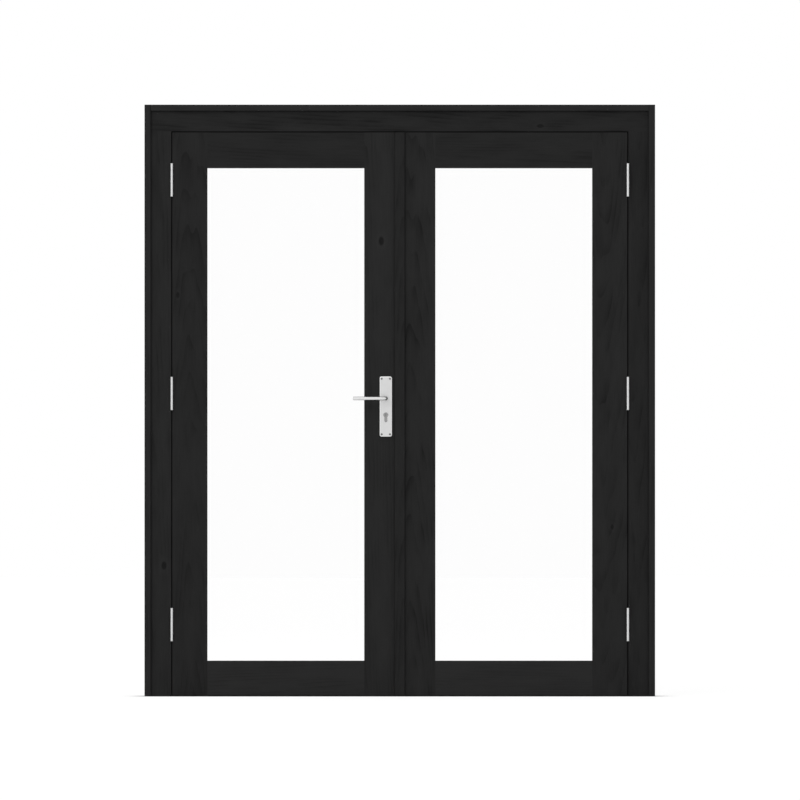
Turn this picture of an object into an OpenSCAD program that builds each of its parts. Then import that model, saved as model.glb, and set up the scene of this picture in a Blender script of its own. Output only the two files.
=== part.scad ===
// Pair of glazed timber french doors in their three-sided frame.
// Millimetres, +Z up, the front looks along -Y. X = 0 is the meeting line, Y = 0 is the middle of the
// leaf thickness, Z = 0 is the floor. The left leaf carries the handle and opens first.
// Left-hand pieces are drawn once and mirrored for the right.

/* [Frame] */
// Overall width of the frame
frame_w = 1700; // [1500:1:2000]
// Overall height of the frame
frame_h = 1970; // [1800:1:2200]
// Face width of jambs and head, from the outside to the rebate
jamb_face = 89; // [70:1:120]
// Depth of the stop behind the leaves
stop_depth = 30; // [24:1:50]
// How far the stop stands in from the rebate wall
stop_lap = 15; // [11:0.5:22]
// Space for the seal between leaf and stop
seal_space = 4; // [3:0.1:6]
// Width of the outer cover strips
cover_w = 21; // [15:0.5:30]
// How far the cover strips stand in front of the jambs
cover_proud = 12; // [8:0.5:16]
// Height of the threshold behind the leaves
threshold_h = 18; // [15:0.5:25]
// Radius of the wall fixing holes
fixing_r = 4; // [3:0.1:5]
// Height of the lowest wall fixing, and drop of the highest one below the head
fixing_edge = 150; // [100:1:180]
// Spacing of the two middle wall fixings
fixing_pitch = 550; // [400:1:700]

/* [Leaves] */
// Gap round and between the leaves
gap = 3; // [2.6:0.1:4]
// Gap under the leaves
floor_gap = 3; // [2:0.1:6]
// Thickness of the leaves
leaf_t = 44; // [40:0.5:48]
// Width of every stile
stile_w = 117; // [112:0.5:130]
// Height of the top rails
top_rail_h = 119; // [90:0.5:140]
// Height of the bottom rails
bottom_rail_h = 115; // [90:0.5:150]
// Radius that eases the timber edges
arris_r = 1.5; // [0.8:0.1:2.5]
// Thickness of the tenons
tenon_t = 14; // [10:0.5:18]
// Length of the tenons
tenon_l = 60; // [40:1:70]
// Shoulder above and below each tenon
tenon_shoulder = 20; // [18:0.5:26]
// Width of the astragal over the meeting line
astragal_w = 34; // [28:0.5:40]
// How far the astragal stands proud
astragal_proud = 10; // [8:0.5:16]
// Relief of the astragal over the second leaf
astragal_relief = 0.5; // [0.3:0.05:1]

/* [Glazing] */
// Timber left in front of the glass
glass_lip = 12; // [9:0.5:14]
// Depth of the glazing rebate beyond the sight line
glass_rebate = 15; // [13:0.5:17]
// Space round the edge of the glass
glass_edge = 3; // [2:0.1:4]
// Thickness of the glazing tape
tape_t = 2; // [1.5:0.1:3]
// Thickness of one pane
pane_t = 4; // [3:0.1:5]
// Space between the panes
cavity_t = 10; // [8:0.5:12]
// Width of the spacer bar
spacer_w = 8; // [6:0.1:9]
// Setback of the spacer from the edge of the panes
spacer_back = 2; // [1:0.1:3]
// Joint between two mitred beads
mitre_gap = 0.2; // [0.1:0.05:0.4]
// Length of a setting block
block_l = 80; // [60:1:120]

/* [Hinges] */
// Height of the lowest hinge centre
hinge_low_z = 239; // [200:1:300]
// Height of the middle hinge centre
hinge_mid_z = 1008.5; // [900:0.5:1100]
// Drop of the upper hinge centre below the top of the leaf
hinge_top_drop = 158.5; // [130:0.5:220]
// Length of the knuckles together
hinge_l = 105; // [90:0.5:120]
// Radius of the knuckles
knuckle_r = 4.5; // [4:0.1:5]
// How far the hinge axis stands in front of the leaf
axis_out = 5.2; // [5.1:0.05:7]
// Thickness of the hinge plates
hinge_t = 2.5; // [2:0.1:3]
// Width of the hinge plates
hinge_w = 35; // [30:0.5:40]
// Space between two knuckles
knuckle_gap = 0.3; // [0.2:0.05:0.6]
// Radius of the hinge pins
pin_r = 2.5; // [2:0.05:2.8]
// Height of the pin caps
pin_cap_h = 2.5; // [1.5:0.1:4]
// Running clearance round pins, spindles, plugs and bolts
run_clear = 0.05; // [0.02:0.01:0.1]

/* [Handle] */
// Distance of the spindle from the meeting edge
backset = 45; // [42:0.5:50]
// Height of the spindle
lever_z = 992; // [950:1:1040]
// Distance from spindle to cylinder
lock_pitch = 55; // [52:0.5:60]
// Width of the handle plates
plate_w = 40.5; // [40:0.5:46]
// Height of the handle plates
plate_h = 200; // [192:1:215]
// Thickness of the handle plates
plate_t = 8; // [6:0.5:10]
// Width of the bevel round the plate
plate_bevel = 3; // [1:0.5:4]
// Radius of the plate corners
plate_corner = 6; // [5:0.5:8]
// Spindle height above the middle of the plate
plate_rise = 27; // [20:1:32]
// Spacing of the plate screws across
screw_dx = 27.6; // [24:0.1:30]
// Spacing of the plate screws up and down
screw_dz = 185; // [182:1:188]
// Radius of the lever bar
lever_r = 6; // [5.5:0.1:6.5]
// Radius of the lever shank round the spindle
shank_r = 7; // [6.8:0.1:7.5]
// Radius of the lever neck inside the plate
neck_r = 8; // [7.6:0.1:9]
// Length of the lever from the spindle
lever_l = 109; // [90:1:130]
// Projection of the lever axis from the leaf
lever_out = 53; // [45:0.5:65]
// Bend radius of the lever
lever_bend = 14; // [10:0.5:20]
// Side of the square spindle
spindle_s = 8; // [7:0.1:9]

/* [Lock] */
// Depth of the lock case
case_d = 72; // [68:0.5:78]
// Thickness of the lock case
case_t = 15; // [14:0.5:18]
// Height of the lock case above the spindle
case_up = 55; // [50:0.5:58]
// Height of the lock case below the spindle
case_down = 115; // [100:0.5:118]
// Wall of the lock case
case_wall = 1.5; // [1:0.1:2]
// Thickness of the faceplate and strike plate
face_t = 3; // [2.5:0.1:4]
// Width of the faceplate
face_w = 20; // [18:0.5:24]
// Length of the faceplate
face_l = 235; // [225:1:245]
// Height of the latch above the spindle
latch_up = 32; // [29:0.5:36]
// Height of the latch
latch_h = 22; // [18:0.5:24]
// Thickness of latch and dead bolt
bolt_t = 11; // [9:0.1:11.5]
// Projection of the latch at rest
latch_out = 11; // [9:0.5:12]
// Height of the dead bolt above the cylinder
dead_up = 29.5; // [28:0.5:31]
// Height of the dead bolt
dead_h = 24; // [20:0.5:25]
// Throw of the dead bolt
dead_throw = 20; // [14:0.5:22]
// Radius of the round part of the cylinder
cyl_r = 8.5; // [8:0.1:9]
// Width of the lower part of the cylinder
cyl_w = 10; // [9:0.1:11]
// Height of the cylinder
cyl_h = 33; // [31:0.1:34]
// How far the cylinder stands out of the plate
cyl_out = 2.5; // [1:0.1:4]
// Radius of the key plug
plug_r = 6.5; // [6:0.05:7]
// Radius of the cam
cam_r = 14; // [12:0.1:14.5]
// Width of the cam
cam_w = 9; // [7:0.1:9.5]

/* [Surface bolts] */
// Distance of the surface bolts from the meeting line
bolt_x = 60; // [45:0.5:70]
// Radius of the bolt rods
bolt_r = 5; // [4:0.1:6]
// Length of a bolt plate
bolt_plate_l = 180; // [160:1:220]
// Width of a bolt plate
bolt_plate_w = 38; // [34:0.5:44]
// Thickness of a bolt plate
bolt_plate_t = 2.5; // [2:0.1:3]
// Wall of the guides round a bolt rod
guide_wall = 3; // [2:0.1:4]
// Chamfer of the bolt knobs
knob_chamfer = 1; // [0.5:0.1:2]
// Distance of the rod axis from the plate
bolt_stand = 8.5; // [8:0.1:10]
// Travel of the bolt rods
bolt_throw = 16; // [12:0.5:18]
// Clearance between a drawn rod and the frame
bolt_clear = 4; // [3:0.1:6]
// Thickness of the keeper plates
keeper_t = 2; // [1.5:0.1:3]

/* [Screws] */
// Radius of the screw shanks
screw_r = 2; // [1.6:0.1:2.2]
// Radius of the countersunk heads
head_r = 3.6; // [3.2:0.1:4]
// Height of the countersunk heads
head_h = 2; // [1.6:0.1:2]
// Length of the screws
screw_l = 20; // [16:0.5:21]

/* [Hidden] */
$fn = 48;

wood = [0.15, 0.15, 0.15];
steel = [0.75, 0.75, 0.76];
dark_steel = [0.5, 0.5, 0.52];
black_rubber = [0.06, 0.06, 0.06];
clear_glass = [0.8, 0.9, 0.9, 0.4];

// Planes of the frame
half_w = frame_w / 2;
y_front = -leaf_t / 2;
y_stop = leaf_t / 2 + seal_space;
y_back = y_stop + stop_depth;
wall_x = half_w - jamb_face;
stop_x = wall_x - stop_lap;
head_z = frame_h - jamb_face;
stop_z = head_z - stop_lap;
fixing_y = (y_stop + y_back) / 2;
fixing_heights = [
    fixing_edge,
    head_z / 2 - fixing_pitch / 2,
    head_z / 2 + fixing_pitch / 2,
    head_z - fixing_edge
];

// Outline of the left leaf, with the distance from the meeting line taken as positive
leaf_out = wall_x - gap;
leaf_in = gap / 2;
leaf_z0 = floor_gap;
leaf_z1 = head_z - gap;
leaf_h = leaf_z1 - leaf_z0;
sight_x0 = -(leaf_out - stile_w);
sight_x1 = -(leaf_in + stile_w);
sight_z0 = leaf_z0 + bottom_rail_h;
sight_z1 = leaf_z1 - top_rail_h;

// Layers of the glazing from front to back
tape_y = y_front + glass_lip;
pane1_y = tape_y + tape_t;
cavity_y = pane1_y + pane_t;
pane2_y = cavity_y + cavity_t;
bead_y = pane2_y + pane_t;
pane_lap = glass_rebate - glass_edge;

// Hinges
axis_x = (wall_x + leaf_out) / 2;
axis_y = y_front - axis_out;
hinge_heights = [hinge_low_z, hinge_mid_z, leaf_z1 - hinge_top_drop];
knuckle_l = hinge_l / 5;
hinge_screws = [
    [hinge_w * 0.3, -hinge_l * 0.4],
    [hinge_w * 0.7, -hinge_l * 0.15],
    [hinge_w * 0.7, hinge_l * 0.15],
    [hinge_w * 0.3, hinge_l * 0.4]
];

// Handle and lock
edge_x = -leaf_in;
spin_x = edge_x - backset;
cyl_z = lever_z - lock_pitch;
plate_z = lever_z - plate_rise;
case_x1 = edge_x - face_t;
case_x0 = case_x1 - case_d;
case_z0 = lever_z - case_down;
case_z1 = lever_z + case_up;
face_z0 = (case_z0 + case_z1 - face_l) / 2;
face_z1 = face_z0 + face_l;
slide_gap = 0.3;
latch_z0 = lever_z + latch_up - latch_h / 2;
latch_z1 = latch_z0 + latch_h;
dead_z0 = cyl_z + dead_up - dead_h / 2;
dead_z1 = dead_z0 + dead_h;
hub_r = spindle_s * 0.72 + 2.3;
disc_r = hub_r + 2.5;
arm_r = disc_r + 7;
cyl_y = leaf_t / 2 + plate_t + cyl_out;
web_z = cyl_z - cam_r - 0.8;
cyl_bottom = cyl_z + cyl_r - cyl_h;
web_screw_z = (web_z + cyl_bottom) / 2;
plate_screw_spots = [for (sx = [-1, 1]) for (sz = [-1, 1])
    [spin_x + sx * screw_dx / 2, plate_z + sz * screw_dz / 2]];
face_screw_heights = [face_z0 + 8, face_z1 - 8];

// Strike plate and pockets in the second leaf
strike_x0 = leaf_in;
strike_x1 = leaf_in + face_t;
strike_z0 = dead_z0 - 25;
strike_z1 = latch_z1 + 25;
latch_pocket_x = edge_x + latch_out + 4;
dead_pocket_x = edge_x + dead_throw + 4;
strike_screw_heights = [strike_z0 + 10, strike_z1 - 10];

// Surface bolts
bolt_y = leaf_t / 2 + bolt_plate_t + bolt_stand;
top_rod_z1 = stop_z - bolt_clear;
top_plate_z1 = stop_z - bolt_clear - 1;
top_plate_z0 = top_plate_z1 - bolt_plate_l;
low_rod_z0 = threshold_h + bolt_clear;
low_plate_z0 = low_rod_z0 + 1;
low_plate_z1 = low_plate_z0 + bolt_plate_l;
keeper_r = bolt_r + 0.5;
keeper_l = 60;
keeper_w = 2 * (bolt_y - y_stop) + 8;
// The bolt screws end short of the tenons
bolt_screw_l = bolt_plate_t + (leaf_t - tenon_t) / 2 - 1;
bolt_screw_spots = [for (sx = [-1, 1]) for (f = [0.3, 0.7])
    [bolt_x + sx * (bolt_plate_w / 2 - 5), f * bolt_plate_l]];

// A block between two corners
module block(x0, x1, y0, y1, z0, z1) {
    translate([x0, y0, z0]) cube([x1 - x0, y1 - y0, z1 - z0]);
}

// Round bars along each axis
module bar_x(x0, x1, y, z, r) {
    translate([x0, y, z]) rotate([0, 90, 0]) cylinder(h = x1 - x0, r = r);
}
module bar_y(x, y0, y1, z, r) {
    translate([x, y0, z]) rotate([-90, 0, 0]) cylinder(h = y1 - y0, r = r);
}
module bar_z(x, y, z0, z1, r) {
    translate([x, y, z0]) cylinder(h = z1 - z0, r = r);
}

// The same piece for the right-hand side
module other_side() {
    mirror([1, 0, 0]) children();
}

// Section of a timber with the two corners of its outer edge eased; the outer edge is at x = 0
module eased_section(w, t, r) {
    translate([r, -t / 2]) square([w - r, t]);
    translate([0, r - t / 2]) square([r, t - 2 * r]);
    translate([r, t / 2 - r]) circle(r);
    translate([r, r - t / 2]) circle(r);
}

// Section of a strip lying on y = 0 with its two front corners eased
module strip_section(w, t, r) {
    translate([-w / 2, -t + r]) square([w, t - r]);
    translate([r - w / 2, -t]) square([w - 2 * r, r]);
    translate([w / 2 - r, r - t]) circle(r);
    translate([r - w / 2, r - t]) circle(r);
}

// Rectangular ring standing in the XZ plane
module ring(x0, x1, z0, z1, w, y0, y1) {
    difference() {
        block(x0, x1, y0, y1, z0, z1);
        block(x0 + w, x1 - w, y0 - 1, y1 + 1, z0 + w, z1 - w);
    }
}

// Countersunk screw along +X from the plane x = 0, head flush with it
module screw_shape(l = screw_l) {
    rotate([0, 90, 0]) rotate_extrude()
        polygon([[0, 0], [head_r, 0], [screw_r, head_h], [screw_r, l], [0, l]]);
}

// Places of the hinge screws, for the jamb (heads face the gap) and the leaf
module at_jamb_screws() {
    for (z = hinge_heights) for (s = hinge_screws)
        translate([-wall_x, y_front + s[0], z + s[1]]) rotate([0, 0, 180]) children();
}
module at_leaf_screws() {
    for (z = hinge_heights) for (s = hinge_screws)
        translate([-leaf_out, y_front + s[0], z + s[1]]) children();
}

// Beds for the hinge plates
module jamb_beds() {
    for (z = hinge_heights)
        block(-wall_x - hinge_t, -wall_x + 1, y_front - 1, y_front + hinge_w,
            z - hinge_l / 2, z + hinge_l / 2);
}
module leaf_beds() {
    for (z = hinge_heights)
        block(-leaf_out - 1, -leaf_out + hinge_t, y_front - 1, y_front + hinge_w,
            z - hinge_l / 2, z + hinge_l / 2);
}

// Frame timbers
module jamb_body() {
    difference() {
        union() {
            linear_extrude(head_z) polygon([
                [-half_w, y_front], [-wall_x, y_front], [-wall_x, y_stop],
                [-stop_x, y_stop], [-stop_x, y_back], [-half_w, y_back]
            ]);
            jamb_tenon();
        }
        jamb_beds();
        at_jamb_screws() screw_shape();
        for (z = fixing_heights) bar_x(-half_w - 1, -stop_x + 1, fixing_y, z, fixing_r);
    }
}
module jamb_tenon() {
    block(-half_w + jamb_face * 0.3, -half_w + jamb_face * 0.7,
        y_front + leaf_t * 0.3, y_front + leaf_t * 0.9, head_z - 1, head_z + jamb_face * 0.5);
}
module left_jamb() {
    color(wood) jamb_body();
}
module right_jamb() {
    color(wood) other_side() jamb_body();
}
module head() {
    color(wood) difference() {
        union() {
            block(-half_w, half_w, y_front, y_back, head_z, frame_h);
            block(-stop_x, stop_x, y_stop, y_back, stop_z, head_z + 1);
        }
        jamb_tenon();
        other_side() jamb_tenon();
        bar_z(bolt_x, bolt_y, stop_z - 1, stop_z + bolt_throw + 4, keeper_r);
        keeper_bed(stop_z - 1, stop_z + keeper_t);
        for (x = keeper_screw_x()) translate([x, bolt_y, stop_z]) rotate([0, -90, 0]) screw_shape();
    }
}
module threshold() {
    color(wood) difference() {
        block(-stop_x, stop_x, y_stop, y_back, 0, threshold_h);
        bar_z(bolt_x, bolt_y, -1, threshold_h + 1, keeper_r);
        keeper_bed(threshold_h - keeper_t, threshold_h + 1);
        for (x = keeper_screw_x()) translate([x, bolt_y, threshold_h]) rotate([0, 90, 0]) short_screw();
    }
}
// Screw that ends above the floor
module short_screw() {
    intersection() {
        screw_shape();
        block(-1, threshold_h - 3, -head_r - 1, head_r + 1, -head_r - 1, head_r + 1);
    }
}
function keeper_screw_x() = [bolt_x - keeper_l / 2 + 9, bolt_x + keeper_l / 2 - 9];
module keeper_bed(z0, z1) {
    block(bolt_x - keeper_l / 2, bolt_x + keeper_l / 2, y_stop - 1, bolt_y + keeper_w / 2, z0, z1);
}
module side_cover() {
    translate([-half_w + cover_w / 2, y_front, 0]) linear_extrude(frame_h)
        strip_section(cover_w, cover_proud, 2 * arris_r);
}
module left_cover_strip() {
    color(wood) side_cover();
}
module right_cover_strip() {
    color(wood) other_side() side_cover();
}
module head_cover_strip() {
    color(wood) translate([half_w - cover_w, y_front, frame_h - cover_w / 2]) rotate([0, -90, 0])
        linear_extrude(frame_w - 2 * cover_w) strip_section(cover_w, cover_proud, 2 * arris_r);
}
module frame_seals() {
    seal_w = stop_lap - gap - 4;
    y0 = leaf_t / 2 + slide_gap;
    color(black_rubber) {
        for (m = [0, 1]) mirror([m, 0, 0])
            block(-leaf_out + 2, -leaf_out + 2 + seal_w, y0, y_stop, threshold_h, leaf_z1 - 2 - seal_w);
        block(-leaf_out + 2, leaf_out - 2, y0, y_stop, leaf_z1 - 2 - seal_w, leaf_z1 - 2);
        block(-stop_x, stop_x, y0, y_stop, leaf_z0 + 2, threshold_h - 3);
    }
}

// Hinges
module knuckles(first, r_bore) {
    for (z = hinge_heights) for (i = [first:2:4])
        difference() {
            bar_z(-axis_x, axis_y, z - hinge_l / 2 + i * knuckle_l + knuckle_gap / 2,
                z - hinge_l / 2 + (i + 1) * knuckle_l - knuckle_gap / 2, knuckle_r);
            bar_z(-axis_x, axis_y, z - hinge_l / 2 - 1, z + hinge_l / 2 + 1, r_bore);
        }
}
// Flat tabs that join a plate to its knuckles, from x0 to x1
module hinge_tabs(first, x0, x1) {
    for (z = hinge_heights) for (i = [first:2:4])
        difference() {
            block(x0, x1, axis_y, y_front, z - hinge_l / 2 + i * knuckle_l + knuckle_gap / 2,
                z - hinge_l / 2 + (i + 1) * knuckle_l - knuckle_gap / 2);
            bar_z(-axis_x, axis_y, z - hinge_l / 2 - 1, z + hinge_l / 2 + 1, pin_r + run_clear);
        }
}
module jamb_plates() {
    union() {
        difference() {
            for (z = hinge_heights)
                block(-wall_x - hinge_t, -wall_x, y_front, y_front + hinge_w,
                    z - hinge_l / 2, z + hinge_l / 2);
            at_jamb_screws() screw_shape();
        }
        hinge_tabs(0, -wall_x - hinge_t, -wall_x);
        knuckles(0, pin_r + run_clear);
    }
}
module leaf_plates() {
    union() {
        difference() {
            for (z = hinge_heights)
                block(-leaf_out, -leaf_out + hinge_t, y_front, y_front + hinge_w,
                    z - hinge_l / 2, z + hinge_l / 2);
            at_leaf_screws() screw_shape();
        }
        hinge_tabs(1, -leaf_out, -leaf_out + hinge_t);
        knuckles(1, pin_r + run_clear);
    }
}
module pins() {
    for (z = hinge_heights) {
        bar_z(-axis_x, axis_y, z - hinge_l / 2 - 0.5, z + hinge_l / 2 + 0.5, pin_r);
        bar_z(-axis_x, axis_y, z + hinge_l / 2 + 0.1, z + hinge_l / 2 + pin_cap_h, knuckle_r + 0.2);
        bar_z(-axis_x, axis_y, z - hinge_l / 2 - pin_cap_h, z - hinge_l / 2 - 0.1, knuckle_r + 0.2);
    }
}
module left_jamb_hinge_plates() {
    color(steel) jamb_plates();
}
module right_jamb_hinge_plates() {
    color(steel) other_side() jamb_plates();
}
module left_hinge_pins() {
    color(steel) pins();
}
module right_hinge_pins() {
    color(steel) other_side() pins();
}
module left_door_hinge_plates() {
    color(steel) leaf_plates();
}
module right_door_hinge_plates() {
    color(steel) other_side() leaf_plates();
}
module keeper(z0, z1) {
    difference() {
        block(bolt_x - keeper_l / 2, bolt_x + keeper_l / 2, y_stop, bolt_y + keeper_w / 2, z0, z1);
        bar_z(bolt_x, bolt_y, z0 - 1, z1 + 1, keeper_r);
        children();
    }
}
module top_bolt_keeper() {
    color(steel) keeper(stop_z, stop_z + keeper_t)
        for (x = keeper_screw_x()) translate([x, bolt_y, stop_z]) rotate([0, -90, 0]) screw_shape();
}
module bottom_bolt_keeper() {
    color(steel) keeper(threshold_h - keeper_t, threshold_h)
        for (x = keeper_screw_x()) translate([x, bolt_y, threshold_h]) rotate([0, 90, 0]) short_screw();
}
module frame_screws() {
    color(steel) {
        at_jamb_screws() screw_shape();
        other_side() at_jamb_screws() screw_shape();
        for (x = keeper_screw_x()) {
            translate([x, bolt_y, stop_z]) rotate([0, -90, 0]) screw_shape();
            translate([x, bolt_y, threshold_h]) rotate([0, 90, 0]) short_screw();
        }
    }
}

// Leaf timbers, drawn for the left leaf
module rebate_cut() {
    block(sight_x0 - glass_rebate, sight_x1 + glass_rebate, tape_y, leaf_t / 2 + 1,
        sight_z0 - glass_rebate, sight_z1 + glass_rebate);
}
module tenon(z0, z1) {
    block(sight_x0 - tenon_l, sight_x1 + tenon_l, -tenon_t / 2, tenon_t / 2,
        z0 + tenon_shoulder, z1 - tenon_shoulder);
}
module mortises() {
    tenon(leaf_z0, sight_z0);
    tenon(sight_z1, leaf_z1);
}
module hinge_stile_body() {
    difference() {
        translate([-leaf_out, 0, leaf_z0]) linear_extrude(leaf_h) eased_section(stile_w, leaf_t, arris_r);
        rebate_cut();
        mortises();
        leaf_beds();
        at_leaf_screws() screw_shape();
    }
}
module meeting_stile_body() {
    difference() {
        translate([-leaf_in, 0, leaf_z0]) mirror([1, 0, 0]) linear_extrude(leaf_h)
            eased_section(stile_w, leaf_t, arris_r);
        rebate_cut();
        mortises();
    }
}
module bottom_rail_body() {
    difference() {
        union() {
            translate([sight_x1, 0, leaf_z0]) rotate([0, -90, 0]) linear_extrude(sight_x1 - sight_x0)
                eased_section(bottom_rail_h, leaf_t, arris_r);
            tenon(leaf_z0, sight_z0);
        }
        rebate_cut();
    }
}
module top_rail_body() {
    difference() {
        union() {
            translate([sight_x1, 0, leaf_z1]) mirror([0, 0, 1]) rotate([0, -90, 0])
                linear_extrude(sight_x1 - sight_x0) eased_section(top_rail_h, leaf_t, arris_r);
            tenon(sight_z1, leaf_z1);
        }
        rebate_cut();
    }
}
module pane(y0) {
    block(sight_x0 - pane_lap, sight_x1 + pane_lap, y0, y0 + pane_t,
        sight_z0 - pane_lap, sight_z1 + pane_lap);
}
module spacer_body() {
    lap = pane_lap - spacer_back;
    ring(sight_x0 - lap, sight_x1 + lap, sight_z0 - lap, sight_z1 + lap,
        spacer_w, cavity_y, pane2_y);
}
module tape_body() {
    ring(sight_x0 - pane_lap, sight_x1 + pane_lap, sight_z0 - pane_lap, sight_z1 + pane_lap,
        pane_lap - 1, tape_y, pane1_y);
}
module setting_blocks_body() {
    for (f = [0.2, 0.8])
        translate([sight_x0 + f * (sight_x1 - sight_x0) - block_l / 2, pane1_y, sight_z0 - glass_rebate])
            cube([block_l, bead_y - pane1_y, glass_edge]);
}
// One mitred bead lying on the XZ outline given by its four corners
module bead(corners) {
    translate([0, leaf_t / 2, 0]) rotate([90, 0, 0]) linear_extrude(leaf_t / 2 - bead_y) polygon(corners);
}
module beads_body() {
    x0 = sight_x0 - glass_rebate;
    x1 = sight_x1 + glass_rebate;
    z0 = sight_z0 - glass_rebate;
    z1 = sight_z1 + glass_rebate;
    g = mitre_gap;
    bead([[x0 + g, z0], [x1 - g, z0], [sight_x1 - g, sight_z0], [sight_x0 + g, sight_z0]]);
    bead([[sight_x0 + g, sight_z1], [sight_x1 - g, sight_z1], [x1 - g, z1], [x0 + g, z1]]);
    bead([[x0, z0], [sight_x0, sight_z0], [sight_x0, sight_z1], [x0, z1]]);
    bead([[sight_x1, sight_z0], [x1, z0], [x1, z1], [sight_x1, sight_z1]]);
}

// Left leaf
module left_hinge_stile() {
    color(wood) hinge_stile_body();
}
module left_lock_stile() {
    color(wood) difference() {
        meeting_stile_body();
        block(case_x1, edge_x + 1, -face_w / 2, face_w / 2, face_z0, face_z1);
        block(case_x0, case_x1 + 1, -case_t / 2, case_t / 2, case_z0, case_z1);
        bar_y(spin_x, y_front - 1, leaf_t / 2 + 1, lever_z, neck_r + 2);
        translate([spin_x, y_front - 1, cyl_z]) profile_bar(leaf_t + 2, 1);
        plate_screws_shape();
        for (z = face_screw_heights) translate([edge_x, 0, z]) rotate([0, 0, 180]) screw_shape();
    }
}
module left_top_rail() {
    color(wood) top_rail_body();
}
module left_bottom_rail() {
    color(wood) bottom_rail_body();
}
module left_front_pane() {
    color(clear_glass) pane(pane1_y);
}
module left_rear_pane() {
    color(clear_glass) pane(pane2_y);
}
module left_spacer() {
    color(steel) spacer_body();
}
module left_glazing_tape() {
    color(black_rubber) tape_body();
}
module left_setting_blocks() {
    color(black_rubber) setting_blocks_body();
}
module left_beads() {
    color(wood) beads_body();
}
module left_screws() {
    color(steel) {
        at_leaf_screws() screw_shape();
        for (z = face_screw_heights) translate([edge_x, 0, z]) rotate([0, 0, 180]) screw_shape();
        cylinder_screw();
    }
}
module astragal() {
    color(wood) difference() {
        translate([0, y_front, leaf_z0]) linear_extrude(leaf_h)
            strip_section(astragal_w, astragal_proud, 2 * arris_r);
        block(leaf_in - gap / 2, astragal_w, y_front - astragal_relief, y_front + 1,
            leaf_z0 - 1, leaf_z1 + 1);
    }
}

// Lock
// Bar with the keyhole-shaped section of the cylinder, grown by c, along +Y
module profile_bar(l, c) {
    rotate([-90, 0, 0]) mirror([0, 1, 0]) linear_extrude(l) {
        circle(cyl_r + c);
        translate([-cyl_w / 2 - c, cyl_r - cyl_h + cyl_w / 2]) square([cyl_w + 2 * c, cyl_h - cyl_r - cyl_w / 2]);
        translate([0, cyl_r - cyl_h + cyl_w / 2]) circle(cyl_w / 2 + c);
    }
}
module lock_case() {
    color(dark_steel) difference() {
        block(case_x0, case_x1, -case_t / 2, case_t / 2, case_z0, case_z1);
        block(case_x0 + case_wall, case_x1 + 1, case_wall - case_t / 2, case_t / 2 - case_wall,
            case_z0 + case_wall, case_z1 - case_wall);
        bar_y(spin_x, -case_t, case_t, lever_z, hub_r + run_clear);
        translate([spin_x, -case_t, cyl_z]) profile_bar(2 * case_t, slide_gap);
    }
}
module face_opening(x0, x1, z0, z1, c) {
    block(x0, x1, -bolt_t / 2 - c, bolt_t / 2 + c, z0 - c, z1 + c);
}
module lock_faceplate() {
    color(steel) difference() {
        block(case_x1, edge_x, -face_w / 2, face_w / 2, face_z0, face_z1);
        face_opening(case_x1 - 1, edge_x + 1, latch_z0, latch_z1, slide_gap);
        face_opening(case_x1 - 1, edge_x + 1, dead_z0, dead_z1, slide_gap);
        for (z = face_screw_heights) translate([edge_x, 0, z]) rotate([0, 0, 180]) screw_shape();
        cylinder_screw();
    }
}
module cylinder_screw() {
    translate([edge_x, 0, web_screw_z]) rotate([0, 0, 180]) screw_shape(backset + 1);
}
module cylinder_body() {
    color(dark_steel) difference() {
        translate([spin_x, -cyl_y, cyl_z]) profile_bar(2 * cyl_y, 0);
        block(spin_x - 20, spin_x + 20, -cam_w / 2 - slide_gap, cam_w / 2 + slide_gap, web_z, cyl_z + 20);
        bar_y(spin_x, -cyl_y - 1, cyl_y + 1, cyl_z, plug_r + run_clear);
        cylinder_screw();
    }
}
module cylinder_plug() {
    color(steel) difference() {
        union() {
            bar_y(spin_x, -cyl_y, cyl_y, cyl_z, plug_r);
            bar_y(spin_x, -cam_w / 2, cam_w / 2, cyl_z, plug_r + 2);
            block(spin_x - 3, spin_x + 3, -cam_w / 2, cam_w / 2, cyl_z - cam_r + 0.5, cyl_z);
        }
        for (s = [-1, 1])
            block(spin_x - 0.9, spin_x + 0.9, s * cyl_y - 14, s * cyl_y + 14, cyl_z - 4.5, cyl_z + 4);
    }
}
module latch_bolt() {
    tail_x = spin_x - 5.3;
    color(steel) difference() {
        union() {
            face_opening(spin_x + disc_r, edge_x + latch_out, latch_z0, latch_z1, 0);
            block(tail_x - 5, spin_x + disc_r + 1, -3, 3, latch_z0, latch_z0 + 8);
            block(tail_x - 5, tail_x, -3, 3, lever_z + disc_r + 1.5, latch_z0 + 1);
        }
        translate([edge_x + latch_out, bolt_t / 2 - latch_out + 1, latch_z0 - 1]) rotate([0, 0, 45])
            cube([40, 40, latch_h + 2]);
    }
}
module dead_bolt() {
    color(steel) face_opening(case_x0 + case_wall + 10, edge_x - 0.5, dead_z0, dead_z1, 0);
}
module follower() {
    color(dark_steel) difference() {
        union() {
            bar_y(spin_x, -case_t / 2, case_t / 2, lever_z, hub_r);
            bar_y(spin_x, slide_gap + case_wall - case_t / 2, case_t / 2 - case_wall - slide_gap,
                lever_z, disc_r);
            block(spin_x - 3, spin_x + 3, -4, 4, lever_z, lever_z + arm_r);
        }
        block(spin_x - spindle_s / 2, spin_x + spindle_s / 2, -case_t, case_t,
            lever_z - spindle_s / 2, lever_z + spindle_s / 2);
    }
}

// Handle
module at_plate_screws() {
    for (p = plate_screw_spots) {
        translate([p[0], y_front - plate_t, p[1]]) rotate([0, 0, 90]) children();
        translate([p[0], leaf_t / 2 + plate_t, p[1]]) rotate([0, 0, -90]) children();
    }
}
module plate_screws_shape() {
    at_plate_screws() screw_shape();
}
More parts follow.
